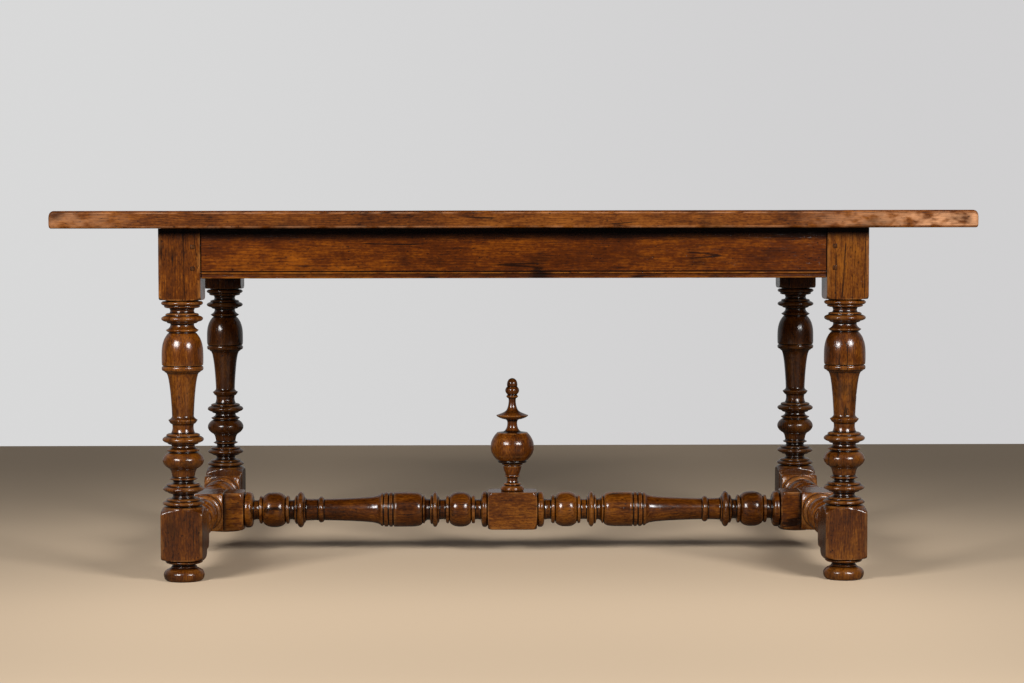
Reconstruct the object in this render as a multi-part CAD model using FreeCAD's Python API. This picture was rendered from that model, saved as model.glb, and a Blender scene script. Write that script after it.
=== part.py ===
import FreeCAD, Part
import math
import os

# Refectory dining table in oak: four top boards on a frame of four turned legs, four
# moulded aprons and an H of turned stretchers with a finial in the middle.
# Millimetres. X runs along the table, Y across it (the front is at -Y), Z is up from the floor.

Vector = FreeCAD.Vector

# Overall sizes
table_height = 760.0
top_length = 1876.0
top_width = 980.0
top_thickness = 36.0

# Top boards and the loose tongues between them
board_count = 4
top_upper_chamfer = 5.0
top_lower_chamfer = 3.0
top_corner_cut = 8.0
tongue_width = 24.0
tongue_thickness = 8.0
tongue_stop = 70.0

# How far in from the ends and the long edges of the top the legs' axes stand
leg_inset_long = 258.0
leg_inset_wide = 86.0

# Legs: two square blocks, a long turning between them and a turned foot, all from one piece
leg_side = 86.0
leg_turned_radius = 42.5
leg_top_block = 143.0
leg_low_block = 110.0
foot_height = 43.5
leg_top_shoulder_drop = 6.0
leg_low_shoulder_drop = 12.0

# Aprons, tenoned into the legs
apron_height = 102.0
apron_thickness = 26.0
apron_setback = 2.0
apron_moulding_height = 15.0
apron_moulding_depth = 4.5
apron_tenon_length = 48.0
apron_tenon_thickness = 10.0
apron_tenon_edge = 12.0

# Stretchers: square blocks and turnings
stretcher_axis_height = 97.0
stretcher_side = 83.0
stretcher_turned_radius = 39.0
stretcher_centre_block = 110.0
stretcher_end_block = 50.0
stretcher_shoulder_drop = 8.0
stretcher_tenon_length = 45.0
stretcher_tenon_width = 46.0
stretcher_tenon_thickness = 14.0

# Finial, with a round tenon below it
finial_height = 251.0
finial_radius = 48.0
finial_tenon_radius = 9.0
finial_tenon_length = 30.0

# Cross rails, dovetailed into the tops of the long aprons
rail_width = 60.0
rail_height = 34.0
dovetail_height = 20.0
dovetail_length = 16.0
dovetail_flare = 6.0

# Pegs, riven square
apron_peg_side = 9.0
apron_peg_length = 36.0
apron_peg_inset = 16.0
apron_peg_proud = 0.6
stretcher_peg_side = 9.0
stretcher_peg_length = 62.0
top_peg_side = 10.0
top_peg_length = 64.0

# Fits
joint_clearance = 0.2
mortise_spare = 1.5
overrun = 20.0

# Places of things that repeat, as shares of the piece that carries them
rail_place_share = 0.165
apron_peg_height_shares = (0.26, 0.57)

# A rounded block end is turned down to this share of the turned radius, where the turning
# takes over
seat_share = 0.98

# Turned outlines, one row for each point: how far along the turning and the radius there, as
# shares of the turning's length and of its largest radius. Feet, legs and finial are read
# upwards, stretchers from their middle block outwards.
foot_turning_shares = (
    (0.00, 0.84),
    (0.31, 0.99),
    (0.70, 0.57),
    (1.00, seat_share),
)
leg_turning_shares = (
    (0.000, seat_share),
    (0.056, 0.56),
    (0.090, 1.00),
    (0.123, 0.50),
    (0.187, 0.64),
    (0.230, 1.00),
    (0.296, 0.55),
    (0.331, 1.00),
    (0.362, 0.53),
    (0.645, 0.74),
    (0.666, 1.00),
    (0.784, 0.97),
    (0.877, 0.57),
    (0.907, 1.00),
    (0.953, 0.58),
    (1.000, seat_share),
)
long_turning_shares = (
    (0.000, seat_share),
    (0.050, 0.57),
    (0.118, 1.00),
    (0.197, 0.58),
    (0.225, 1.00),
    (0.253, 0.62),
    (0.315, 0.97),
    (0.440, 0.95),
    (0.462, 0.73),
    (0.760, 0.61),
    (0.783, 1.00),
    (0.825, 0.55),
    (0.890, 1.00),
    (1.000, 0.56),
)
side_turning_shares = (
    (0.000, 0.58),
    (0.240, 1.00),
    (0.500, 0.55),
    (0.760, 1.00),
    (1.000, 0.58),
)
finial_turning_shares = (
    (0.000, 0.57),
    (0.080, 0.29),
    (0.225, 0.48),
    (0.335, 0.99),
    (0.435, 0.99),
    (0.530, 0.38),
    (0.620, 0.24),
    (0.672, 0.73),
    (0.705, 0.32),
    (0.780, 0.18),
    (0.890, 0.33),
    (1.000, 0.05),
)

# The lower edge of an apron seen from its end, from the face down: how far in and how far up,
# as shares of the moulding's depth and height. A quirk, a fillet, a cove and a bottom fillet.
moulding_shares = (
    (0.00, 1.00),
    (0.50, 1.00),
    (0.50, 0.88),
    (0.10, 0.88),
    (0.10, 0.74),
    (0.80, 0.60),
    (1.00, 0.40),
    (0.30, 0.20),
    (0.30, 0.00),
)

# Heights and distances that follow from the sizes above
top_underside = table_height - top_thickness
leg_low_block_top = foot_height + leg_low_block
leg_top_block_foot = top_underside - leg_top_block
leg_turning_length = leg_top_block_foot - leg_low_block_top
board_width = top_width / board_count
leg_spacing_long = top_length - 2 * leg_inset_long
leg_spacing_wide = top_width - 2 * leg_inset_wide
apron_foot = top_underside - apron_height
side_clear = leg_spacing_wide - leg_side
long_clear = leg_spacing_long - leg_side
side_turning_length = (side_clear - stretcher_centre_block) / 2 - stretcher_end_block
long_stretcher_length = leg_spacing_long - stretcher_side
long_turning_length = (long_stretcher_length - stretcher_centre_block) / 2 - stretcher_end_block
apron_middle = leg_side / 2 - apron_setback - apron_thickness / 2


def box(x_low, x_high, y_low, y_high, z_low, z_high):
    """A box between its low and high sides along each axis."""
    corner = Vector(x_low, y_low, z_low)
    return Part.makeBox(x_high - x_low, y_high - y_low, z_high - z_low, corner)


def straight(start, end):
    return Part.makeLine(start, end)


def turned_run(start, end):
    """One straight run of a turned outline."""
    curve = Part.BezierCurve()
    curve.setPoles([start, end])
    return curve.toShape()


def turning(shares, start, length, radius):
    """A round solid on the Z axis, turned to an outline that starts at a height and runs by length."""
    points = [Vector(radius * r, 0, start + length * along) for along, r in shares]
    edges = [turned_run(points[i - 1], points[i]) for i in range(1, len(points))]
    first = Vector(0, 0, points[0].z)
    last = Vector(0, 0, points[-1].z)
    edges.insert(0, straight(first, points[0]))
    edges.append(straight(points[-1], last))
    edges.append(straight(last, first))
    face = Part.Face(Part.Wire(edges))
    return face.revolve(Vector(0, 0, 0), Vector(0, 0, 1), 360)


def square_block(side, low, high, seat, low_drop, high_drop):
    """A square block on the Z axis; where a drop is given, that end is turned to a round seat."""
    reach = side / math.sqrt(2)
    outline = [Vector(0, 0, low)]
    if low_drop:
        outline.append(Vector(seat, 0, low))
    outline.append(Vector(reach, 0, low + low_drop))
    outline.append(Vector(reach, 0, high - high_drop))
    if high_drop:
        outline.append(Vector(seat, 0, high))
    outline += [Vector(0, 0, high), Vector(0, 0, low)]
    face = Part.Face(Part.makePolygon(outline))
    envelope = face.revolve(Vector(0, 0, 0), Vector(0, 0, 1), 360)
    half = side / 2
    return envelope.common(box(-half, half, -half, half, low, high))


def grown(low, high, by):
    """A span with the same clearance added at both ends."""
    return low - by, high + by


def square_hole(side, length):
    """A square cutter or peg on the Z axis, from the origin down."""
    half = side / 2
    return box(-half, half, -half, half, -length, 0)


def laid_along_x(shape):
    """Turn a piece made on the Z axis so that its top points along +X."""
    turned = shape.copy()
    turned.rotate(Vector(0, 0, 0), Vector(0, 1, 0), 90)
    return turned


def laid_along_y(shape):
    """Turn a piece made on the Z axis so that its top points along +Y."""
    turned = shape.copy()
    turned.rotate(Vector(0, 0, 0), Vector(1, 0, 0), -90)
    return turned


def moved(shape, x, y, z):
    copy = shape.copy()
    copy.translate(Vector(x, y, z))
    return copy


def mirrored(shape, across_x, across_y):
    """The same piece on the other side of the table's middle, along X, along Y or both."""
    result = shape
    if across_x:
        result = result.mirror(Vector(0, 0, 0), Vector(1, 0, 0))
    if across_y:
        result = result.mirror(Vector(0, 0, 0), Vector(0, 1, 0))
    return result


# Pegs and the places where they go, for the front left corner of the table

def apron_peg_heights():
    return [top_underside - leg_top_block * share for share in apron_peg_height_shares]


def apron_peg_places():
    """Pegs of the front left leg's two apron joints: (x, y, z, True where it runs along X)."""
    in_from_edge = leg_side / 2 - apron_peg_inset
    x_leg = -leg_spacing_long / 2
    y_leg = -leg_spacing_wide / 2
    places = []
    for z in apron_peg_heights():
        places.append((x_leg + in_from_edge, y_leg - leg_side / 2, z, False))
        places.append((x_leg - leg_side / 2, y_leg + in_from_edge, z, True))
    return places


def inward_peg(side, length, x, y, z, along_x):
    """A square peg driven in from a face at x or y, towards the middle of the table."""
    peg = square_hole(side, length)
    peg = laid_along_x(peg) if along_x else laid_along_y(peg)
    inward = Vector(length, 0, 0) if along_x else Vector(0, length, 0)
    peg.translate(Vector(x, y, z) + inward)
    return peg


def apron_pegs_at_corner():
    pegs = []
    for x, y, z, along_x in apron_peg_places():
        out = -apron_peg_proud
        x_start = x + out if along_x else x
        y_start = y if along_x else y + out
        pegs.append(inward_peg(apron_peg_side, apron_peg_length, x_start, y_start, z, along_x))
    return pegs


def apron_peg_holes():
    hole_side = apron_peg_side + 2 * joint_clearance
    holes = []
    for x, y, z, along_x in apron_peg_places():
        depth = apron_peg_length - apron_peg_proud + joint_clearance
        x_start = x if not along_x else x - overrun
        y_start = y if along_x else y - overrun
        holes.append(inward_peg(hole_side, depth + overrun, x_start, y_start, z, along_x))
    return holes


def stretcher_leg_peg(side, length, lead):
    """The peg through the front left leg's side into the side stretcher's tenon."""
    x = -leg_spacing_long / 2 - leg_side / 2 - lead
    y = -side_clear / 2 - stretcher_tenon_length / 2
    return inward_peg(side, length + lead, x, y, stretcher_axis_height, True)


def stretcher_cross_peg(side, length, lead):
    """The peg from below through the left side stretcher into the long stretcher's tenon."""
    peg = square_hole(side, length + lead)
    x = -long_stretcher_length / 2 - stretcher_tenon_length / 2
    z = stretcher_axis_height - stretcher_side / 2 + length
    return moved(peg, x, 0, z)


def rail_places():
    return [-leg_spacing_long * rail_place_share, leg_spacing_long * rail_place_share]


def board_middles():
    return [board_width * (i - (board_count - 1) / 2) for i in range(board_count)]


def top_peg_places():
    """Where each board is pegged down: every board on both rails, the outer ones on the legs too."""
    middles = board_middles()
    places = []
    for i, y_board in enumerate(middles):
        for x_rail in rail_places():
            places.append((i, x_rail, y_board))
    for i in (0, board_count - 1):
        y_leg = math.copysign(leg_spacing_wide / 2, middles[i])
        places.append((i, -leg_spacing_long / 2, y_leg))
        places.append((i, leg_spacing_long / 2, y_leg))
    return places


def top_pegs():
    peg = square_hole(top_peg_side, top_peg_length)
    return [moved(peg, x, y, table_height) for i, x, y in top_peg_places()]


def top_peg_holes(board=None):
    """Holes for the pegs of one board, or of them all."""
    hole = square_hole(top_peg_side + 2 * joint_clearance, top_peg_length + mortise_spare)
    places = [p for p in top_peg_places() if board is None or p[0] == board]
    return [moved(hole, x, y, table_height) for i, x, y in places]


# Legs

def leg_blank():
    """A leg on the Z axis: foot, lower block, turning and top block in one piece."""
    seat = leg_turned_radius * seat_share
    foot = turning(foot_turning_shares, 0, foot_height, leg_turned_radius)
    low = square_block(leg_side, foot_height, leg_low_block_top, seat, 0, leg_low_shoulder_drop)
    middle = turning(leg_turning_shares, leg_low_block_top, leg_turning_length, leg_turned_radius)
    high = square_block(
        leg_side, leg_top_block_foot, top_underside, seat, leg_top_shoulder_drop, 0
    )
    return foot.fuse([low, middle, high]).removeSplitter()


def apron_tenon_span():
    """Low and high edges of the apron tenons."""
    return apron_foot + apron_tenon_edge, top_underside - apron_tenon_edge


def leg_mortises():
    """The front left leg's mortises, in table coordinates."""
    x_leg = -leg_spacing_long / 2
    y_leg = -leg_spacing_wide / 2
    inner = leg_side / 2
    half = apron_tenon_thickness / 2 + joint_clearance
    depth = apron_tenon_length + mortise_spare
    z_low, z_high = grown(*apron_tenon_span(), joint_clearance)
    for_front = box(
        x_leg + inner - depth, x_leg + inner + overrun,
        y_leg - apron_middle - half, y_leg - apron_middle + half, z_low, z_high
    )
    for_side = box(
        x_leg - apron_middle - half, x_leg - apron_middle + half,
        y_leg + inner - depth, y_leg + inner + overrun, z_low, z_high
    )
    half = stretcher_tenon_thickness / 2 + joint_clearance
    tall = stretcher_tenon_width / 2 + joint_clearance
    depth = stretcher_tenon_length + mortise_spare
    for_stretcher = box(
        x_leg - half, x_leg + half, y_leg + inner - depth, y_leg + inner + overrun,
        stretcher_axis_height - tall, stretcher_axis_height + tall
    )
    return [for_front, for_side, for_stretcher]


def leg_front_left():
    leg = moved(leg_blank(), -leg_spacing_long / 2, -leg_spacing_wide / 2, 0)
    side = stretcher_peg_side + 2 * joint_clearance
    cuts = leg_mortises() + apron_peg_holes() + top_peg_holes()
    cuts.append(stretcher_leg_peg(side, stretcher_peg_length + joint_clearance, overrun))
    return leg.cut(cuts)


# Aprons

def apron(length, y_face):
    """An apron along X whose moulded face is at y_face on the front side, with both tenons."""
    y_back = y_face + apron_thickness
    outline = [Vector(-length / 2, y_face, top_underside)]
    for in_share, up_share in moulding_shares:
        y = y_face + apron_moulding_depth * in_share
        outline.append(Vector(-length / 2, y, apron_foot + apron_moulding_height * up_share))
    outline.append(Vector(-length / 2, y_back, apron_foot))
    outline.append(Vector(-length / 2, y_back, top_underside))
    outline.append(outline[0])
    body = Part.Face(Part.makePolygon(outline)).extrude(Vector(length, 0, 0))
    y_middle = y_face + apron_thickness / 2
    half = apron_tenon_thickness / 2
    z_low, z_high = apron_tenon_span()
    reach = length / 2 + apron_tenon_length
    tenon = box(-reach, reach, y_middle - half, y_middle + half, z_low, z_high)
    return body.fuse(tenon).removeSplitter()


def rail_dovetails(clearance):
    """The front dovetails of both cross rails."""
    y_root = -leg_spacing_wide / 2 - apron_middle + apron_thickness / 2
    y_tip = y_root - dovetail_length - clearance
    z_low = top_underside - dovetail_height - clearance
    tails = []
    for x in rail_places():
        narrow = rail_width / 2 - dovetail_flare + clearance
        wide = rail_width / 2 + clearance
        corners = [
            Vector(x - narrow, y_root, z_low), Vector(x - wide, y_tip, z_low),
            Vector(x + wide, y_tip, z_low), Vector(x + narrow, y_root, z_low),
            Vector(x - narrow, y_root, z_low),
        ]
        tail = Part.Face(Part.makePolygon(corners))
        tails.append(tail.extrude(Vector(0, 0, top_underside - z_low)))
    return tails


def apron_front():
    y_face = -leg_spacing_wide / 2 - leg_side / 2 + apron_setback
    blank = apron(long_clear, y_face)
    holes = apron_peg_holes()
    holes += [mirrored(hole, True, False) for hole in apron_peg_holes()]
    return blank.cut(holes + rail_dovetails(joint_clearance))


def apron_left():
    y_face = -leg_spacing_long / 2 - leg_side / 2 + apron_setback
    blank = apron(side_clear, y_face)
    blank.rotate(Vector(0, 0, 0), Vector(0, 0, 1), -90)
    holes = apron_peg_holes()
    holes += [mirrored(hole, False, True) for hole in apron_peg_holes()]
    return blank.cut(holes)


def cross_rail(x_place):
    """A rail from front apron to back apron, dovetailed at both ends."""
    y_root = leg_spacing_wide / 2 + apron_middle - apron_thickness / 2
    z_low = top_underside - rail_height
    half = rail_width / 2
    body = box(x_place - half, x_place + half, -y_root, y_root, z_low, top_underside)
    tail = rail_dovetails(0)[rail_places().index(x_place)]
    back_tail = mirrored(tail, False, True)
    return body.fuse([tail, back_tail]).removeSplitter().cut(top_peg_holes())


# Stretchers

def stretcher_blank(length, turning_length, half_shares, drop):
    """Square blocks in the middle and at the ends, turnings between them and a tenon at each end,
    all on the Z axis with the tenons thin along X. The drop is that of the middle block."""
    seat = stretcher_turned_radius * seat_share
    centre = stretcher_centre_block / 2
    end = length / 2
    tip = end + stretcher_tenon_length
    middle_block = square_block(stretcher_side, -centre, centre, seat, drop, drop)
    end_block = square_block(stretcher_side, end - stretcher_end_block, end, seat, 0, 0)
    thin = stretcher_tenon_thickness / 2
    wide = stretcher_tenon_width / 2
    tenon = box(-thin, thin, -wide, wide, end, tip)
    turned = turning(half_shares, centre, turning_length, stretcher_turned_radius)
    half = turned.fuse([end_block, tenon])
    other = half.mirror(Vector(0, 0, 0), Vector(0, 0, 1))
    return middle_block.fuse([half, other]).removeSplitter()


def stretcher_left():
    """The side stretcher between the left legs, mortised for the long stretcher."""
    blank = stretcher_blank(side_clear, side_turning_length, side_turning_shares, 0)
    blank = laid_along_y(blank)
    blank = moved(blank, -leg_spacing_long / 2, 0, stretcher_axis_height)
    thin = stretcher_tenon_thickness / 2 + joint_clearance
    wide = stretcher_tenon_width / 2 + joint_clearance
    x_face = -long_stretcher_length / 2
    mortise = box(
        x_face - stretcher_tenon_length - mortise_spare, x_face + overrun, -wide, wide,
        stretcher_axis_height - thin, stretcher_axis_height + thin
    )
    side = stretcher_peg_side + 2 * joint_clearance
    leg_peg = stretcher_leg_peg(side, stretcher_peg_length + joint_clearance, overrun)
    cross_peg = stretcher_cross_peg(side, stretcher_peg_length + joint_clearance, overrun)
    return blank.cut([mortise, cross_peg, leg_peg, mirrored(leg_peg, False, True)])


def stretcher_long():
    """The stretcher along the table, tenoned into both side stretchers and bored for the finial."""
    blank = stretcher_blank(
        long_stretcher_length, long_turning_length, long_turning_shares, stretcher_shoulder_drop
    )
    blank = moved(laid_along_x(blank), 0, 0, stretcher_axis_height)
    bore_depth = finial_tenon_length + mortise_spare
    z_top = stretcher_axis_height + stretcher_side / 2
    bore = Part.makeCylinder(
        finial_tenon_radius + joint_clearance, bore_depth + overrun,
        Vector(0, 0, z_top - bore_depth)
    )
    side = stretcher_peg_side + 2 * joint_clearance
    peg = stretcher_cross_peg(side, stretcher_peg_length + joint_clearance, overrun)
    return blank.cut([bore, peg, mirrored(peg, True, False)])


def finial():
    z_foot = stretcher_axis_height + stretcher_side / 2
    body = turning(finial_turning_shares, z_foot, finial_height, finial_radius)
    tenon = Part.makeCylinder(
        finial_tenon_radius, finial_tenon_length + overrun / 2,
        Vector(0, 0, z_foot - finial_tenon_length)
    )
    return body.fuse(tenon).removeSplitter()


# Top

def top_slab():
    """The whole top before it is divided into boards, with its corners and edges taken off."""
    half_length = top_length / 2
    half_width = top_width / 2
    slab = box(-half_length, half_length, -half_width, half_width, top_underside, table_height)
    upright = [e for e in slab.Edges if e.BoundBox.ZLength > top_thickness / 2]
    slab = slab.makeChamfer(top_corner_cut, upright)
    upper = [e for e in slab.Edges if e.BoundBox.ZMin > table_height - top_thickness / 4]
    slab = slab.makeChamfer(top_upper_chamfer, upper)
    lower = [e for e in slab.Edges if e.BoundBox.ZMax < top_underside + top_thickness / 4]
    return slab.makeChamfer(top_lower_chamfer, lower)


def tongue_span(clearance):
    """Low and high sides of the loose tongues, half way up the boards."""
    middle = top_underside + top_thickness / 2
    return grown(middle - tongue_thickness / 2, middle + tongue_thickness / 2, clearance)


def seam_places():
    return [(a + b) / 2 for a, b in zip(board_middles(), board_middles()[1:])]


def tongues(clearance):
    """The loose tongues in the seams between boards."""
    reach = top_length / 2 - tongue_stop + clearance
    half = tongue_width / 2 + clearance
    z_low, z_high = tongue_span(clearance)
    return [box(-reach, reach, y - half, y + half, z_low, z_high) for y in seam_places()]


def top_boards():
    slab = top_slab()
    half_length = top_length / 2
    grooves = tongues(joint_clearance)
    boards = []
    for i, y in enumerate(board_middles()):
        strip = box(
            -half_length, half_length, y - board_width / 2, y + board_width / 2,
            top_underside, table_height
        )
        boards.append(slab.common(strip).cut(grooves + top_peg_holes(i)))
    return boards


def write_parts():
    parts = {}
    for i, board in enumerate(top_boards()):
        parts["top_board_%d" % (i + 1)] = board
    parts["top_tongues"] = Part.makeCompound(tongues(0))
    parts["top_pegs"] = Part.makeCompound(top_pegs())

    leg = leg_front_left()
    corner_pegs = apron_pegs_at_corner()
    leg_peg = stretcher_leg_peg(stretcher_peg_side, stretcher_peg_length, 0)
    cross_peg = stretcher_cross_peg(stretcher_peg_side, stretcher_peg_length, 0)
    apron_pegs = []
    stretcher_pegs = [cross_peg, mirrored(cross_peg, True, False)]
    for depth_name, across_y in (("front", False), ("back", True)):
        for side_name, across_x in (("left", False), ("right", True)):
            parts["leg_%s_%s" % (depth_name, side_name)] = mirrored(leg, across_x, across_y)
            apron_pegs += [mirrored(peg, across_x, across_y) for peg in corner_pegs]
            stretcher_pegs.append(mirrored(leg_peg, across_x, across_y))
    parts["apron_pegs"] = Part.makeCompound(apron_pegs)
    parts["stretcher_pegs"] = Part.makeCompound(stretcher_pegs)

    front = apron_front()
    left = apron_left()
    parts["apron_front"] = front
    parts["apron_back"] = mirrored(front, False, True)
    parts["apron_left"] = left
    parts["apron_right"] = mirrored(left, True, False)
    for name, x in zip(("left", "right"), rail_places()):
        parts["cross_rail_%s" % name] = cross_rail(x)

    side = stretcher_left()
    parts["stretcher_left"] = side
    parts["stretcher_right"] = mirrored(side, True, False)
    parts["stretcher_long"] = stretcher_long()
    parts["finial"] = finial()

    os.makedirs("parts", exist_ok=True)
    for name, shape in parts.items():
        shape.exportStep("parts/%s.step" % name)
        print(name, "solids", len(shape.Solids), "valid", shape.isValid(), "volume", round(shape.Volume))


write_parts()
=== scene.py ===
# %% [markdown]
# # An oak refectory table, finished by hand
# The construction model gives every board, leg and peg its place and size. This lesson dresses
# it: the turned parts get their full row of beads and hollows, the boards and aprons get soft
# worn edges, and every piece gets an oak that follows its own grain under an old wax polish.
# Everything stays where the joiner put it, because each finished piece is built in its node's place and the
# node is hidden.

import math

import bmesh
import bpy
from mathutils import Matrix, Vector, noise


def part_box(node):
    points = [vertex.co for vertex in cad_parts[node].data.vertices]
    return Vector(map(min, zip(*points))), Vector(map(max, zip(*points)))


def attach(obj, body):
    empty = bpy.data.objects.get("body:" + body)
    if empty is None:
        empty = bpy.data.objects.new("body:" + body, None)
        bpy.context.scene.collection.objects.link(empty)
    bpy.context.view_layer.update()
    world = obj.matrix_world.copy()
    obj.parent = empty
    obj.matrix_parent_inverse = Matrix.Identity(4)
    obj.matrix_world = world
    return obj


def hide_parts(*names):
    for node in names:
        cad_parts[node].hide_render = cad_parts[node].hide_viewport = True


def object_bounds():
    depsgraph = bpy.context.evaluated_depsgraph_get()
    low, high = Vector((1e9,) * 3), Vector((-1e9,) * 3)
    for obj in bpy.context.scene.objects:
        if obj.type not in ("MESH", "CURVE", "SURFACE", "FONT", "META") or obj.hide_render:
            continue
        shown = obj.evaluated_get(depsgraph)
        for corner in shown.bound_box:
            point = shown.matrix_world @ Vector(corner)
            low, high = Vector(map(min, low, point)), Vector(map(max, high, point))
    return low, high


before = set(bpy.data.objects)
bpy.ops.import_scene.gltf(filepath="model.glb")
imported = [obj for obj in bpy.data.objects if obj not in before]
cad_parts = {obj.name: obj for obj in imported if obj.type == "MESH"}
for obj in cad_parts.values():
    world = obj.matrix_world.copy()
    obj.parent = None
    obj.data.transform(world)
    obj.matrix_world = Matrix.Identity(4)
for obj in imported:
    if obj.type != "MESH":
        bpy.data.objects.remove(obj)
cad_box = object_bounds()
mm = 0.001
print("nodes in the frame:", len(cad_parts))
print("whole table, metres:", [round(v, 4) for v in (cad_box[1] - cad_box[0])])

# %% [markdown]
# ## Sizes that the frame already holds
# A finished piece must sit on the same axis as the piece it stands for, so those axes are read
# from the frame instead of being typed again. Only the shapes that the photograph shows and the
# frame lacks, such as the run of beads on a leg, are written down further on.

# %% Axes and blocks of the frame
leg_box = {name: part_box(name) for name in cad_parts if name.startswith("leg_")}
leg_axis = {name: (low + high) / 2 for name, (low, high) in leg_box.items()}
leg_block_side = leg_box["leg_front_left"][1].x - leg_box["leg_front_left"][0].x
long_low, long_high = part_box("stretcher_long")
stretcher_side = long_high.z - long_low.z
stretcher_height = (long_high.z + long_low.z) / 2
side_box = {name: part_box(name) for name in ("stretcher_left", "stretcher_right")}
top_underside = leg_box["leg_front_left"][1].z
table_height = cad_box[1].z
print("leg block", round(leg_block_side, 4), "stretcher block", round(stretcher_side, 4))
print("stretcher axis height", round(stretcher_height, 4), "underside of top", round(top_underside, 4))

# %% [markdown]
# ## Wiring trees by hand
# Geometry Nodes and materials are both trees of nodes. One small helper adds a node, sets its
# options and plugs in its inputs, so that each tree below reads like a list of steps. The others
# make the nodes that are used most: sums on numbers and on vectors, a smooth change from one
# value to another, and a mix of two colours.

# %% Helpers for every tree
def put(tree, kind, plugs=None, **options):
    """Adds a node, sets its options, and plugs values or other nodes' sockets into its inputs."""
    node = tree.nodes.new(kind)
    for option, value in options.items():
        setattr(node, option, value)
    for key, value in (plugs or {}).items():
        if isinstance(key, int):
            socket = node.inputs[key]
        else:
            socket = next(s for s in node.inputs if s.name == key and s.enabled)
        if isinstance(value, bpy.types.NodeSocket):
            tree.links.new(value, socket)
        else:
            socket.default_value = value
    return node


def reckon(tree, operation, a, b=0.0, c=0.0, clamp=False):
    """A Math node, as a socket."""
    return put(tree, "ShaderNodeMath", {0: a, 1: b, 2: c}, operation=operation, use_clamp=clamp).outputs[0]


def steer(tree, operation, *values, **named):
    """A Vector Math node, as a socket."""
    node = put(tree, "ShaderNodeVectorMath", {**dict(enumerate(values)), **named}, operation=operation)
    return next(s for s in node.outputs if s.enabled)


def ease(tree, value, from_low, from_high, to_low=0.0, to_high=1.0):
    """A smooth Map Range node, as a socket."""
    plugs = {"Value": value, "From Min": from_low, "From Max": from_high, "To Min": to_low, "To Max": to_high}
    return put(tree, "ShaderNodeMapRange", plugs, interpolation_type="SMOOTHSTEP").outputs[0]


def mixed(tree, under, over, amount):
    """Two colours mixed, as a socket. Each colour is a socket or three numbers."""
    mix = put(tree, "ShaderNodeMix", {0: amount}, data_type="RGBA")
    for socket, value in ((mix.inputs[6], under), (mix.inputs[7], over)):
        if isinstance(value, bpy.types.NodeSocket):
            tree.links.new(value, socket)
        else:
            socket.default_value = (*value, 1)
    return mix.outputs[2]

print("five helpers for nodes")

# %% [markdown]
# ### From a tree to a plain mesh
# A tree of Geometry Nodes needs named inputs, an end that gives real geometry with its material
# on, and a way to run it. The result is taken off the evaluated object as a plain mesh, and the
# modifier goes, so that what is left is an ordinary piece.

# %% Open, close and run a tree
def placed(name, data):
    """A new object in the scene."""
    piece = bpy.data.objects.new(name, data)
    bpy.context.scene.collection.objects.link(piece)
    return piece


def open_tree(name, inputs):
    """A Geometry Nodes tree with named inputs: (name, socket kind, default)."""
    tree = bpy.data.node_groups.new(name, "GeometryNodeTree")
    tree.interface.new_socket(name="Geometry", in_out="INPUT", socket_type="NodeSocketGeometry")
    for label, kind, default in inputs:
        socket = tree.interface.new_socket(name=label, in_out="INPUT", socket_type=kind)
        if default is not None:
            socket.default_value = default
    tree.interface.new_socket(name="Geometry", in_out="OUTPUT", socket_type="NodeSocketGeometry")
    return tree


def then(tree, mesh, kind, plugs=None, **options):
    """The next step that a mesh takes in a tree."""
    return put(tree, "GeometryNode" + kind, {"Geometry": mesh, **(plugs or {})}, **options).outputs[0]


def close_tree(tree, mesh, material):
    mesh = then(tree, mesh, "RealizeInstances")
    mesh = then(tree, mesh, "SetMaterial", {"Material": material})
    put(tree, "NodeGroupOutput", {"Geometry": mesh})
    return tree


def grow(name, mesh, tree, values):
    """Runs a tree on a mesh and returns a plain mesh object. Inputs are set by identifier."""
    piece = placed(name, mesh)
    modifier = piece.modifiers.new("grow", "NODES")
    modifier.node_group = tree
    for item in tree.interface.items_tree:
        if item.in_out == "INPUT" and item.name in values:
            modifier[item.identifier] = values[item.name]
    bpy.context.view_layer.update()
    depsgraph = bpy.context.evaluated_depsgraph_get()
    grown = bpy.data.meshes.new_from_object(piece.evaluated_get(depsgraph))
    piece.modifiers.clear()
    piece.data = grown
    grown.name = name
    return piece

print("trees can be opened, closed and grown")

# %% [markdown]
# ## Oak
# Oak has growth rings, long dark pores and a cloudy colour under old polish. A picture wrapped
# round a turned leg would smear, so the timber is made solid: the pattern fills space, its rings
# run round a pith that lies off to one side, and turning a leg cuts through it as a gouge would.
# The grain is stretched along one axis, so each piece gets the axis along which it was sawn.

# %% The pattern in the timber
grain_turns = {"Z": (0, 0, 0), "X": (0, -math.pi / 2, 0), "Y": (math.pi / 2, 0, 0)}
ring_width = 0.0044


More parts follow.
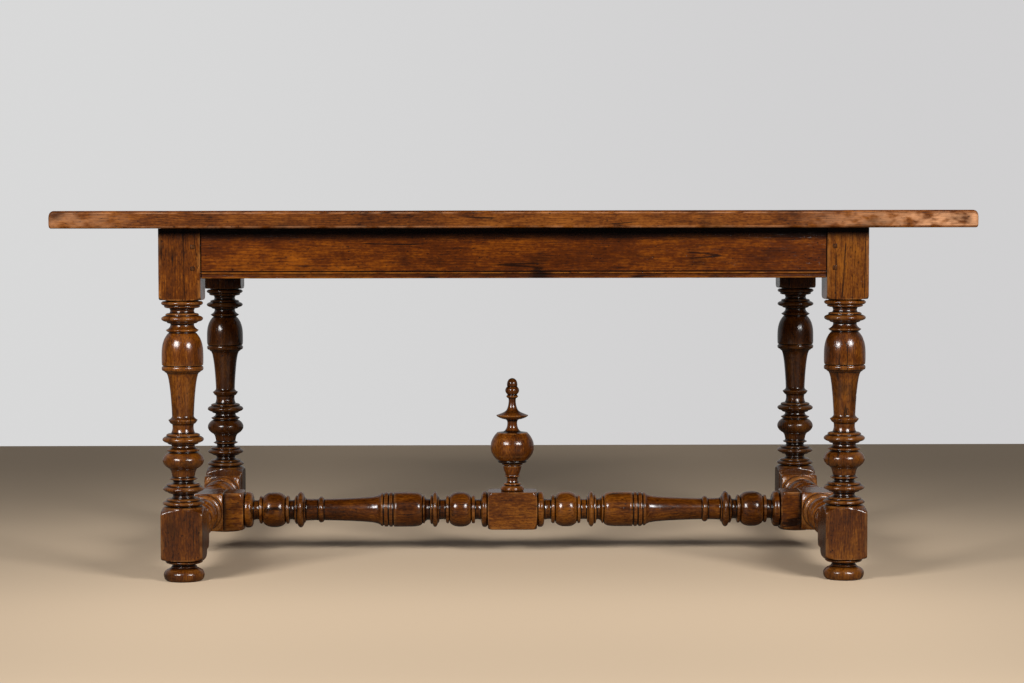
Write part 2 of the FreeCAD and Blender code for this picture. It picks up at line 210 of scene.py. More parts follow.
def timber_patterns(tree, log, run):
    """The rings, pores and marks of age in a log, as named sockets; run is the fibres' length."""
    def drawn(across, along, detail, roughness=0.55, output=0):
        squeezed = steer(tree, "MULTIPLY", log, (across, across, along))
        plugs = {"Vector": squeezed, "Scale": 1.0, "Detail": detail, "Roughness": roughness}
        return put(tree, "ShaderNodeTexNoise", plugs).outputs[output]

    # the years passed since the pith, which sways, and within each year the early wood
    sway = steer(tree, "SUBTRACT", drawn(7, 1.6, 2, output="Color"), (0.5, 0.5, 0.5))
    bent = steer(tree, "MULTIPLY_ADD", sway, (0.06, 0.06, 0.0), log)
    reach = steer(tree, "LENGTH", steer(tree, "MULTIPLY", bent, (1, 1, 0)))
    years = reckon(tree, "DIVIDE", reach, ring_width)
    uneven = reckon(tree, "MULTIPLY", drawn(26, 5, 1), 2.4)
    season = reckon(tree, "FRACT", reckon(tree, "ADD", years, uneven))
    early = ease(tree, season, 0.0, 0.62, 1.0, 0.0)

    # pores crowd in the early wood, and checks are thin wandering cracks in a few places
    streak = ease(tree, drawn(420, 24, 3, 0.65), 0.50, 0.64)
    wander = reckon(tree, "ABSOLUTE", reckon(tree, "SUBTRACT", drawn(38, 2.5, 1), 0.5))
    crack = ease(tree, wander, 0.006, 0.03, 1.0, 0.0)
    return {
        "early": early,
        "fibre": drawn(390, run, 3, 0.6),
        "speckle": drawn(300, 150, 2, 0.6),
        "cloud": drawn(9, 4, 2),
        "blotch": drawn(58, 24, 3),
        "pores": reckon(tree, "MULTIPLY", streak, reckon(tree, "MULTIPLY_ADD", early, 0.6, 0.4)),
        "flecks": ease(tree, drawn(210, 110, 2), 0.64, 0.72),
        "stains": ease(tree, drawn(21, 11, 3), 0.56, 0.72),
        "checks": reckon(tree, "MULTIPLY", crack, ease(tree, drawn(13, 6, 1), 0.57, 0.62)),
        "patchy": ease(tree, drawn(60, 30, 2), 0.35, 0.62),
        "tool_marks": drawn(46, 24, 2),
    }

print("growth rings", round(ring_width * 1000, 1), "mm apart")

# %% [markdown]
# ### Age and polish
# Two attributes on the meshes, hollow and worn, say where wax and dirt gather, together with
# painted shade, and where hands and feet have rubbed. The gloss is a thin coat over duller wood,
# as wax is. In the photograph the lower parts of the legs are darker than the upper ones, so an
# oak may darken downwards.

# %% The oak material
pit_depth, tool_mark_depth = 0.00005, 0.0008
shade_starts, shade_ends = 0.52, 0.30  # heights between which the lower parts darken


def oak(name, grain, tones, pith, dirt_and_shade=0.92, rub=0.5, dull=0.5, coat=1.0, figure=1.0, run=60,
        low_shade=1.0, shade=1.0, coat_rough=0.18):
    """Solid oak along one axis. Tones are dark, middle, light and rubbed; the pith lies off the piece."""
    material = bpy.data.materials.new(name)
    material.use_nodes = True
    tree = material.node_tree
    shader = tree.nodes["Principled BSDF"]
    where = put(tree, "ShaderNodeTexCoord").outputs["Object"]
    log = put(tree, "ShaderNodeMapping", {"Vector": where, "Location": (*pith, 0.31 * pith[0]),
              "Rotation": grain_turns[grain]}).outputs[0]
    wood = timber_patterns(tree, log, run)
    for label in ("hollow", "worn"):
        wood[label] = put(tree, "ShaderNodeAttribute", attribute_name=label).outputs["Fac"]

    def swing(pattern, amount, base):
        return reckon(tree, "MULTIPLY_ADD", reckon(tree, "SUBTRACT", wood[pattern], 0.5), amount, base)

    tone = 0.5
    for pattern, amount in (("fibre", 1.9 * figure), ("speckle", 1.5 * figure), ("early", -0.2 * figure),
                            ("blotch", 0.5 + 0.7 * figure), ("cloud", 1.2)):
        tone = swing(pattern, amount, tone)
    ramp = put(tree, "ShaderNodeValToRGB", {0: reckon(tree, "MAXIMUM", tone, 0.0, clamp=True)})
    stops = ramp.color_ramp.elements
    stops[0].color, stops[1].color = (*tones[0], 1), (*tones[2], 1)
    stops.new(0.5).color = (*tones[1], 1)

    # the rubbed colour is wear; on the aprons' fillets it is also a painted highlight
    rubbed = reckon(tree, "MULTIPLY", reckon(tree, "MULTIPLY", wood["worn"], wood["patchy"]), rub)
    colour = mixed(tree, ramp.outputs[0], tones[3], rubbed)
    dark = tuple(0.12 * v for v in tones[0])
    # pores, stains, flecks and checks are the wood's own; the hollow mark darkens with wax and dirt and with
    # painted shade
    for pattern, amount in (("pores", 0.3 + 0.3 * figure), ("stains", 0.5), ("flecks", 0.7), ("checks", 0.8),
                            ("hollow", dirt_and_shade)):
        colour = mixed(tree, colour, dark, reckon(tree, "MULTIPLY", wood[pattern], amount))
    # shade scales the whole colour down, as painted shade, and low_shade darkens it towards the bottom
    height = put(tree, "ShaderNodeSeparateXYZ", {0: where}).outputs["Z"]
    kept = ease(tree, height, shade_ends, shade_starts, low_shade * shade, shade)
    tree.links.new(steer(tree, "SCALE", colour, Scale=kept), shader.inputs["Base Color"])

    rough = reckon(tree, "MULTIPLY_ADD", wood["pores"], 0.2, swing("cloud", 0.3, dull))
    rough = reckon(tree, "MULTIPLY_ADD", wood["hollow"], 0.2, rough, clamp=True)
    tree.links.new(rough, shader.inputs["Roughness"])
    pits = reckon(tree, "MULTIPLY_ADD", wood["flecks"], 1.2, wood["pores"])
    pitted = put(tree, "ShaderNodeBump", {"Height": pits, "Strength": 1.0, "Distance": pit_depth},
                 invert=True)
    worked = put(tree, "ShaderNodeBump", {"Height": wood["tool_marks"], "Strength": 1.0,
                 "Distance": tool_mark_depth, "Normal": pitted.outputs[0]}).outputs[0]
    for socket in ("Normal", "Coat Normal"):
        tree.links.new(worked, shader.inputs[socket])
    for socket, value in (("IOR", 1.45), ("Specular IOR Level", 0.04), ("Coat Weight", coat),
                          ("Coat Roughness", coat_rough), ("Coat IOR", 1.5)):
        shader.inputs[socket].default_value = value
    return material

print("oak takes its grain along", sorted(grain_turns))

# %% [markdown]
# ### One oak for each kind of piece
# The tones are written as linear colours. The back legs, the right front one and the long
# stretcher carry painted shade: they are darker than the left front one, as they look in the
# photograph. Pegs have gone very dark with age.

# %% Tones and materials
frame_tones = ((0.020, 0.0040, 0.0006), (0.112, 0.0270, 0.0014),
               (0.280, 0.0870, 0.0060), (0.36, 0.140, 0.030))
top_tones = ((0.020, 0.0045, 0.0006), (0.102, 0.0250, 0.0018),
             (0.220, 0.0660, 0.0070), (0.56, 0.270, 0.130))
apron_tones = ((0.010, 0.0015, 0.0001), (0.080, 0.0155, 0.0002),
               (0.250, 0.0640, 0.0016), (0.34, 0.120, 0.012))
peg_tones = ((0.012, 0.0035, 0.0010), (0.045, 0.0140, 0.0035),
             (0.100, 0.0360, 0.0100), (0.12, 0.045, 0.014))
bare_tones = ((0.090, 0.055, 0.030), (0.170, 0.110, 0.065),
              (0.260, 0.180, 0.110), (0.30, 0.220, 0.140))
# shade below 1 is painted shade over the whole piece; low_shade darkens it towards the bottom
frame_oak = oak("frame_oak_upright", "Z", frame_tones, (0.19, 0.13), figure=0.5, low_shade=0.7)
frame_oak_right = oak("frame_oak_right", "Z", frame_tones, (0.16, 0.11), figure=0.5, low_shade=0.84,
                      shade=0.79)
frame_oak_back = oak("frame_oak_back", "Z", frame_tones, (0.19, 0.13), figure=0.5, low_shade=0.8, shade=0.6)
frame_oak_finial = oak("frame_oak_finial", "Z", frame_tones, (0.14, 0.18), figure=0.55)
frame_oak_long = oak("frame_oak_long", "X", frame_tones, (0.12, 0.17), figure=0.55, shade=0.8)
frame_oak_cross = oak("frame_oak_cross", "Y", frame_tones, (0.15, -0.11), figure=0.55)
peg_oak = oak("peg_oak", "Z", peg_tones, (0.02, 0.01), coat=0.15)
bare_oak = oak("bare_oak", "Y", bare_tones, (0.08, 0.11), dirt_and_shade=0.3, dull=0.7, coat=0.0)
print("materials:", [m.name for m in bpy.data.materials if "oak" in m.name])

# %% [markdown]
# ## The turner's alphabet
# A turned leg is a row of a few shapes: a bead swells, a hollow dips, a ring stands out between
# two smaller rolls, a ball is part of an ellipse, and a long flowing curve joins two diameters.
# Each is a short function that gives places along the axis and the radius there, so an outline
# reads the way a turner marks out the blank. All are in millimetres.

# %% Beads, hollows and rings
def bead(low, high, foot, crest, sharp=1.0, steps=12):
    """A swelling from one radius up to a crest and back; sharper ones have a finer edge."""
    middle, half = (low + high) / 2, (high - low) / 2
    turns = [math.pi * i / steps for i in range(steps + 1)]
    rise = crest - foot
    return [(middle - half * math.cos(a), foot + rise * max(math.sin(a), 0) ** sharp) for a in turns]


def hollow(low, high, start, end, depth, steps=9):
    """A dip between two radii."""
    spans = [i / steps for i in range(steps + 1)]
    run, rise = high - low, end - start
    return [(low + run * t, start + rise * t - depth * math.sin(math.pi * t)) for t in spans]


def stacked(low, high, foot, *beads, steps=44):
    """Beads that run into one another: the outermost shows, and a crease is left between them."""
    outline = []
    for i in range(steps + 1):
        place = low + (high - low) * (1 - math.cos(math.pi * i / steps)) / 2
        radius = foot
        for start, end, crest in beads:
            across = (2 * place - start - end) / (end - start)
            if abs(across) < 1:
                radius = max(radius, foot + (crest - foot) * math.sqrt(1 - across ** 2))
        outline.append((place, radius))
    return outline


def ring(low, high, foot, crest, roll):
    """A broad ring, with a small roll below its crest and a larger one above."""
    tall = high - low
    lower = (low, low + 0.30 * tall, 0.92 * roll)
    upper = (high - 0.34 * tall, high, roll)
    return stacked(low, high, foot, lower, (low + 0.12 * tall, high - 0.20 * tall, crest), upper)


def groove(middle, half, edge, bottom):
    """A narrow cut between two edges."""
    return [(middle - half, edge), (middle, bottom), (middle + half, edge)]

print("a ring in", len(ring(0, 24, 24, 42, 35)), "points")

# %% Lips, balls and flowing curves
def lip(low, edge_at, high, start, edge, end, turned_round=False):
    """A sharp edge: full below it, and a hollow sweep to the neck above it, or the other way round."""
    if turned_round:
        swapped = lip(low, low + high - edge_at, high, end, edge, start)
        return [(low + high - place, radius) for place, radius in reversed(swapped)]
    shares = [i / 6 for i in range(7)]
    under, over = edge_at - 0.6, edge_at + 0.3
    outline = [(low + (under - low) * t, start + (edge - start) * t ** 0.6) for t in shares]
    return outline + [(over + (high - over) * t, end + (edge - end) * (1 - t) ** 2.3) for t in shares]


def ball(low, high, middle, half, crest, power=2.0, steps=18):
    """Part of an ellipse round the axis; a higher power squares it into a barrel."""
    first, last = (math.asin((p - middle) / half) for p in (low, high))
    turns = [math.sin(first + (last - first) * i / steps) for i in range(steps + 1)]
    return [(middle + half * u, crest * (1 - abs(u) ** power) ** (1 / power)) for u in turns]


def flow(*points, steps=5):
    """A smooth curve through given (place, radius) points."""
    slopes = []
    for i in range(len(points)):
        a, b = points[max(i - 1, 0)], points[min(i + 1, len(points) - 1)]
        slopes.append((b[1] - a[1]) / (b[0] - a[0]))
    outline = [points[0]]
    for (x0, r0), (x1, r1), s0, s1 in zip(points, points[1:], slopes, slopes[1:]):
        run = x1 - x0
        for k in range(1, steps + 1):
            t = k / steps
            cube, square = t ** 3, t ** 2
            rise = (2 * cube - 3 * square + 1) * r0 + (3 * square - 2 * cube) * r1
            rise += run * ((cube - 2 * square + t) * s0 + (cube - square) * s1)
            outline.append((x0 + run * t, rise))
    return outline


def mirrored(outline):
    return [(-place, radius) for place, radius in reversed(outline)]

print("a quarter of a ball in", len(ball(0, 20, 0, 20, 20)), "points")

# %% [markdown]
# ### Where round meets square
# A block keeps the square of the blank, and its ends are cut round: the turner's gouge leaves a
# dished face and, seen from the side, an arch. A collared ball is the figure that comes back on
# every stretcher, so it is written once.

# %% Blocks and collared balls
corner_kept = 0.992  # the share of a square's diagonal that its worn corners still reach


def block(low, high, side, low_end=None, high_end=None):
    """A square block, as the envelope that its corners would sweep.

    An end is four numbers: the radius it stands on, how far its face is dished, the radius where the
    corners start to be cut, and how deep that cut runs.
    """
    corner = side * math.sqrt(0.5) * corner_kept

    def shoulder(seat, dish, start, cut):
        arc = [math.pi / 2 * i / 6 for i in range(7)]
        face = [(dish * (1 - math.cos(a)), seat + (start - seat) * math.sin(a)) for a in arc]
        rise = corner - start
        return face + [(dish + cut * (1 - math.cos(a)) ** 0.75, start + rise * math.sin(a)) for a in arc[1:]]

    below = [(low + depth, radius) for depth, radius in shoulder(*low_end)] if low_end else [(low, corner)]
    above = [(high, corner)]
    if high_end:
        above = [(high - depth, radius) for depth, radius in reversed(shoulder(*high_end))]
    start, end = below[-1][0], above[0][0]
    rows = max(2, round((end - start - 1.6) / 7))
    middle = [(start + 0.8 + (end - start - 1.6) * i / rows, corner) for i in range(rows + 1)]
    return below + middle + above


crease_radius, squareness = 27.6, 2.6


def collared_ball(low, ball_low, ball_high, high, foot, collar_crests, half, crest):
    """A barrel between two full collars, with a narrow crease on each side of it."""
    first, last = collar_crests
    return (bead(low, ball_low - 1.2, foot, first, sharp=0.5, steps=10)
            + [(ball_low - 0.9, crease_radius), (ball_low - 0.3, crease_radius)]
            + ball(ball_low, ball_high, (ball_low + ball_high) / 2, half, crest, squareness)
            + [(ball_high + 0.3, crease_radius), (ball_high + 0.9, crease_radius)]
            + bead(ball_high + 1.2, high, foot, last, sharp=0.5, steps=10))

print("a block without shoulders in", len(block(0, 80, 86)), "points")

# %% [markdown]
# ## Outlines read from the photograph
# These are the marks on the turner's rod: the leg from the floor up, half of each stretcher from
# its middle block outwards, and the finial from the block it stands on. The radii came from
# measuring the leg's edges in the photograph at its known scale.

# %% The leg, from the floor to the underside of the top
leg_side_mm = leg_block_side / mm


def part_way(value):
    """A value kept between 0 and 1."""
    return min(max(value, 0.0), 1.0)


def settled(outline):
    """The same outline with its rings a millimetre or two lower, as the middle of the leg was cut."""
    lower = []
    for place, radius in outline:
        drop = part_way((place - 156) / 14) + 1.2 * part_way((place - 500) / 20)
        lower.append((place - drop * part_way((700 - place) / 60), radius))
    return lower


leg_outline = settled(
    [(0, 0), (0, 35)]
    + flow((0.5, 36.2), (3.5, 39.4), (8, 41.3), (13.5, 42), (18.5, 40.4), (22.5, 36.6), (25, 31.8),
           (27.4, 27.6), (30, 26))
    + hollow(30.2, 34.6, 25.6, 26, 1.6)
    + flow((35, 27.5), (35.8, 33.8), (37.6, 37.4), (39.8, 38.4), (41.6, 37.8), (42.6, 36.2), steps=3)
    + [(42.9, 34), (43.8, 34)]
    + block(44, 153.6, leg_side_mm, (41, 1, 50.5, 9.5), (37, 4.3, 43.4, 13))
    + [(153.8, 34), (155.2, 34)]
    + stacked(155.5, 172, 24.6, (153.6, 167.6, 42.8), (164.2, 171.8, 35.6))
    + hollow(172.2, 180.6, 24.6, 24.2, 2.4)
    + ring(180.8, 202.2, 23.4, 41.9, 35)
    + hollow(202.4, 208, 23.2, 22.2, 1.6)
    + lip(208.2, 211.8, 216.6, 22.2, 28.8, 23.4)
    + flow((217, 23.4), (221, 24.2), (226, 25.3), (229.4, 26.9), (231.5, 28.6))
    + ball(231.6, 267.2, 249.4, 23.6, 42.4)
    + lip(267.4, 271, 279, 30.2, 33.8, 24.2)
    + ring(281.4, 305.4, 23.6, 42.4, 34.6)
    + hollow(305.6, 323.4, 24.4, 22.2, 1.4)
    + lip(323.6, 332.4, 341.2, 22.6, 29.8, 22.5)
    + flow((341.6, 22.5), (358, 23.3), (382, 25), (403, 27.1), (417, 29.3), (424.6, 31.2), (429, 33.2))
    + flow((429.6, 34.6), (431.2, 36.6), (432.6, 37.4), steps=3)
    + flow((433, 39), (434.4, 41.4), (437.2, 42.7), (440.4, 42.7), (442.6, 41.6), steps=3)
    + [(443.4, 39.9), (444.4, 40)]
    + flow((445.2, 42), (450, 42.6), (465, 42.8), (477, 42.3), (487, 40.9), (495, 38.6), (502, 35.5),
           (508, 31.8), (512.8, 27.8))
    + lip(513.2, 518.2, 529.6, 27.4, 33.6, 24.3)
    + ring(531.6, 553.6, 24.6, 42.9, 34.4)
    + hollow(553.8, 562.2, 26, 26.2, 1.6)
    + stacked(562.4, 577.6, 25.6, (562.8, 570.4, 37), (566.8, 580.2, 43))
    + [(577.9, 34), (579.5, 34)]
    + block(579.8, top_underside / mm, leg_side_mm, (41, 1, 52, 8.5))
    + [(top_underside / mm, 0)]
)
print("leg outline:", len(leg_outline), "points up to", round(leg_outline[-1][0]), "mm")

# %% Half of each stretcher
stretcher_side_mm = stretcher_side / mm
beside_block = [(55.3, 36), (55.9, 36)]
beside_block += flow((56.2, 37.8), (58.4, 39.4), (62.6, 39.8), (66.8, 38.6), (69.6, 34),
                     (70.8, 27.4), steps=3)
long_half = (
    beside_block
    + hollow(71.2, 85.6, 23.6, 22.6, 0.8)
    + collared_ball(86, 95.8, 142.6, 151.6, 23.6, (31.8, 31.6), 31, 38.8)
    + hollow(152, 165.2, 23, 23, 0.8)
    + ring(165.4, 187, 23, 39.4, 33)
    + hollow(187.2, 190.8, 24, 23.6, 0.4)
    + lip(191, 199.8, 202.2, 23.4, 32, 29.8, True)
    + flow((202.6, 30.6), (205.6, 34), (211, 36.7), (220, 38.1), (232, 38.6), (266.2, 38.5))
    + groove(268, 1.4, 36.6, 35.6) + bead(269.8, 276.6, 36.8, 38.6, sharp=0.6)
    + groove(278.2, 1.2, 36.2, 35.4) + bead(279.8, 287.4, 36.8, 38.5, sharp=0.6)
    + groove(289.3, 1.5, 36, 35.2)
    + flow((291.4, 37.2), (294.5, 36.8), (298, 33.8), (303, 31.4), (311, 29.5), (320, 28.3), (336, 27),
           (356, 25.9), (382, 24.8), (404, 24.1), (421, 23.6))
    + bead(421.6, 434.6, 23.6, 28.8, sharp=1.4)
    + hollow(435, 461.6, 23.8, 24.6, 0.4)
    + ring(462, 487.4, 23.4, 39.8, 31.8)
    + hollow(487.6, 496.6, 23, 22, 0.8)
    + hollow(496.8, 498.2, 22, 22.2, 0, steps=2)
    + collared_ball(498.6, 507.8, 556.4, 565.6, 22.8, (31.6, 31), 32, 38.9)
    + hollow(566, 576.4, 22.2, 22.4, 0.6)
    + flow((577, 27), (578.2, 33.4), (581.4, 38.2), (586.4, 39.6), (591.2, 39.2), (593.2, 37.6), steps=3)
    + [(593.6, 36), (594.2, 36)]
)
side_half = (
    beside_block
    + hollow(71.2, 84, 23.6, 22.6, 0.8)
    + collared_ball(84.4, 94, 142, 151, 23.6, (31.8, 31.6), 32, 38.8)
    + hollow(151.4, 163.4, 23, 23, 0.8)
    + ring(163.6, 202.4, 23.4, 39.2, 32.4)
)
side_half += [(366.0 - place, radius) for place, radius in reversed(side_half) if place < 163.5]
print("halves reach to", long_half[-1][0], "and", round(side_half[-1][0], 1), "mm")

# %% Whole stretchers
def drawn_in(half, by):
    """The same turning cut by eye a little nearer the middle, as the left half of this one was."""
    return [(p - by * part_way((p - 60) / 28) * part_way((594 - p) / 28), r) for p, r in half]


def stretcher_outline(left_half, right_half, block_end, end_block_start, end_block_end):
    """The whole outline, from end face to end face, from the halves beyond the middle block."""
    shoulder = (37.8, 1.2, 46, 10)
    end = block(end_block_start, end_block_end, stretcher_side_mm, shoulder) + [(end_block_end, 0)]
    middle = block(-block_end, block_end, stretcher_side_mm, shoulder, shoulder)
    return mirrored(left_half + end) + middle + right_half + end


long_outline = stretcher_outline(drawn_in(long_half, 3.5), long_half, 55, 594.5, 638.5)
side_outline = stretcher_outline(side_half, side_half, 55, 311, 361)
print("long stretcher", len(long_outline), "points, side stretcher", len(side_outline))

# %% The finial, from the block it stands on
finial_outline = (
    [(138.5, 0), (138.5, 24.6)]
    + stacked(138.7, 157, 13, (134, 151.6, 26.2), (150.6, 156.8, 19.6))
    + hollow(157.2, 168.6, 13.6, 12.4, 0.9)
    + lip(168.8, 171.6, 174.6, 13.2, 17, 15.4)
    + flow((175, 15.4), (178.5, 16.6), (184, 18.6), (190, 20), (193.6, 20.9))
    + [(194.3, 18.8), (195.4, 18.8)] + flow((195.8, 21), (197, 23), (198.8, 23.6), (200.2, 22.4), steps=3)
    + [(200.6, 21.6), (201, 28.4), (201.6, 31), (203, 31.9), (205, 32.2), (206, 31.6), (206.6, 30.6)]
    + flow((207, 33.2), (208.6, 35.6), (211.4, 38.1), (216, 41.8), (222, 45.3), (229, 47.5), (237, 48),
           (245, 47.4), (252, 45.1), (258, 42), (263, 38.6), (267.2, 34.8))
    + [(268.4, 33.8), (268.6, 32.2), (268.7, 30.6)]
    + flow((268.8, 27), (269.8, 22.2), (272.2, 17.4), (276, 14.2), (281, 12), (288, 11), (293.4, 11.4),
           (296.8, 13.6))
    + flow((297.4, 15.4), (298.8, 21.4), (300.8, 27.4), (303.4, 32.6), (305.8, 35.2), (306.6, 35.6))
    + flow((307.2, 34.8), (309, 29.6), (311.4, 23.8), (313.8, 18.6), (317.2, 14), (322.5, 11), (329, 9.1),
           (336, 8.1), (341.5, 8), (344.6, 8.8))
    + lip(344.8, 349.2, 353.4, 9.2, 13.4, 10.8)
    + flow((353.6, 11.2), (356.5, 13.8), (361, 15.5), (365, 15.1), (368.8, 13), (370.6, 11.4))
    + flow((371, 10.9), (373.5, 11.7), (377.4, 11.6), (380.8, 10.9), (384, 9.4), (386.6, 7.3),
           (388.4, 4.6), (389.3, 1.6))
    + [(389.4, 0)]
)
print("finial", len(finial_outline), "points, tip at", finial_outline[-1][0], "mm")

# %% [markdown]
# ## A lathe in Geometry Nodes
# A lathe has one rule: the radius depends only on the place along the axis. The tree takes an
# outline as a row of points, lays out a grid with one column for each direction round the axis,
# and sends each grid point to its place. A square block obeys a second rule, because the blank
# was square before it was turned: nothing may lie further out than the blank's own faces. The
# radius is the smaller of the two, which gives the arched shoulders for nothing. Columns crowd
# towards the corners, where the arrises are slightly rounded. Last come small dents and waves,
# always inwards, and the two attributes that the oak reads.

# %% Marks along an outline
flush_radius = 43.0  # a block counts no further out than its faces, or its corners would be rings
near_steps, wide_steps = (-2.4, -1.6, -0.8, 0.8, 1.6, 2.4), (-9, -6, -4, 4, 6, 9)
crease_depth, neck_depth, ring_height = 0.65, 16.0, 0.8


def painted_overhang_shadow(height, reach=17.0, fade=6.0):
    """How much painted shadow falls right under the top, from 0 to 1."""
    return part_way((height - (top_underside / mm - reach)) / fade)


def radius_at(outline, place):
    """The outline's radius at a place, on a straight line between its points."""
    for (a, r), (b, s) in zip(outline, outline[1:]):
        if a <= place <= b and b > a:
            return r + (s - r) * (place - a) / (b - a)
    return outline[0][1] if place < outline[0][0] else outline[-1][1]


def dirt_shade_and_wear(outline, painted_shadow_band):
    """For each point, how far it lies below its neighbours, as dirt and painted shade, and how far it stands
    out, 0 to 1.
    """
    upright = outline[0][0] == 0.0
    flush = [(place, min(radius, flush_radius)) for place, radius in outline]
    marks = []
    for place, radius in flush:
        near = [radius_at(flush, place + step) for step in near_steps]
        wide = [radius_at(flush, place + step) for step in wide_steps]
        stands_out = radius - sum(near) / len(near)
        at_end = min(place - flush[0][0], flush[-1][0] - place) < 2.0 and not upright
        # painted shade: necks sunk between rings are darkened; creases darken both with wax and dirt and as
        # painted shade
        painted_neck_shade = part_way((min(max(wide[:3]), max(wide[3:])) - radius) / neck_depth)
        shade = max(-stands_out / crease_depth - 0.08, 0.78 * painted_neck_shade, painted_overhang_shadow(place) if upright else 0.0)
        # a painted shadow band, like the one under the finial's ball, is fully dark
        shade = 1.0 if at_end or painted_shadow_band[0] < place < painted_shadow_band[1] else min(shade, 1.0)
        marks.append((shade, part_way(stands_out / ring_height)))
    return marks


def write_marks(mesh, marks):
    """Stores hollow and worn, one pair for each point."""
    for index, label in enumerate(("hollow", "worn")):
        attribute = mesh.attributes.new(label, "FLOAT", "POINT")
        attribute.data.foreach_set("value", [mark[index] for mark in marks])


def outline_mesh(name, outline, marks):
    """The outline as a row of points in metres: X is the radius, Z the place."""
    mesh = bpy.data.meshes.new(name)
    points = [(radius * mm, 0.0, place * mm) for place, radius in outline]
    mesh.from_pydata(points, [(i, i + 1) for i in range(len(points) - 1)], [])
    write_marks(mesh, marks)
    return mesh

print("a crease is dark from", crease_depth, "mm deep")

# %% The blank's faces, and the dents of use
def square_reach(tree, given, cosine, sine):
    """How far the blank's faces lie in a direction, with softly rounded arrises, and half its side."""
    power = given["Arris"]
    parts = [reckon(tree, "POWER", reckon(tree, "ABSOLUTE", part), power) for part in (cosine, sine)]
    spread = reckon(tree, "POWER", reckon(tree, "ADD", *parts), reckon(tree, "DIVIDE", -1.0, power))
    half_side = reckon(tree, "MULTIPLY", given["Block Side"], 0.5)
    return reckon(tree, "MULTIPLY", half_side, spread), half_side


def dented(tree, mesh, given):
    """Waves and dents, only ever inwards, and none where the foot meets the floor."""
    spot = put(tree, "GeometryNodeInputPosition").outputs[0]

    def bumps(scale, detail):
        plugs = {"Vector": spot, "W": given["Seed"], "Scale": scale, "Detail": detail}
        return put(tree, "ShaderNodeTexNoise", plugs, noise_dimensions="4D").outputs[0]

    waves = reckon(tree, "MULTIPLY", bumps(28.0, 2.0), 0.8)
    dents = ease(tree, bumps(75.0, 1.0), 0.66, 0.80, 0.0, 1.6)
    above = ease(tree, put(tree, "ShaderNodeSeparateXYZ", {0: spot}).outputs["Z"], 0.002, 0.012)
    inward = reckon(tree, "MULTIPLY", given["Dent Depth"], -1.0)
    depth = reckon(tree, "MULTIPLY", reckon(tree, "ADD", waves, dents), inward)
    normal = put(tree, "GeometryNodeInputNormal").outputs[0]
    push = steer(tree, "SCALE", normal, Scale=reckon(tree, "MULTIPLY", depth, above))
    return then(tree, mesh, "SetPosition", {"Offset": push})

print("the blank is square and dents go inwards")

# %% The lathe tree
arris_blend, same_point = 0.0012, 0.00002  # metres


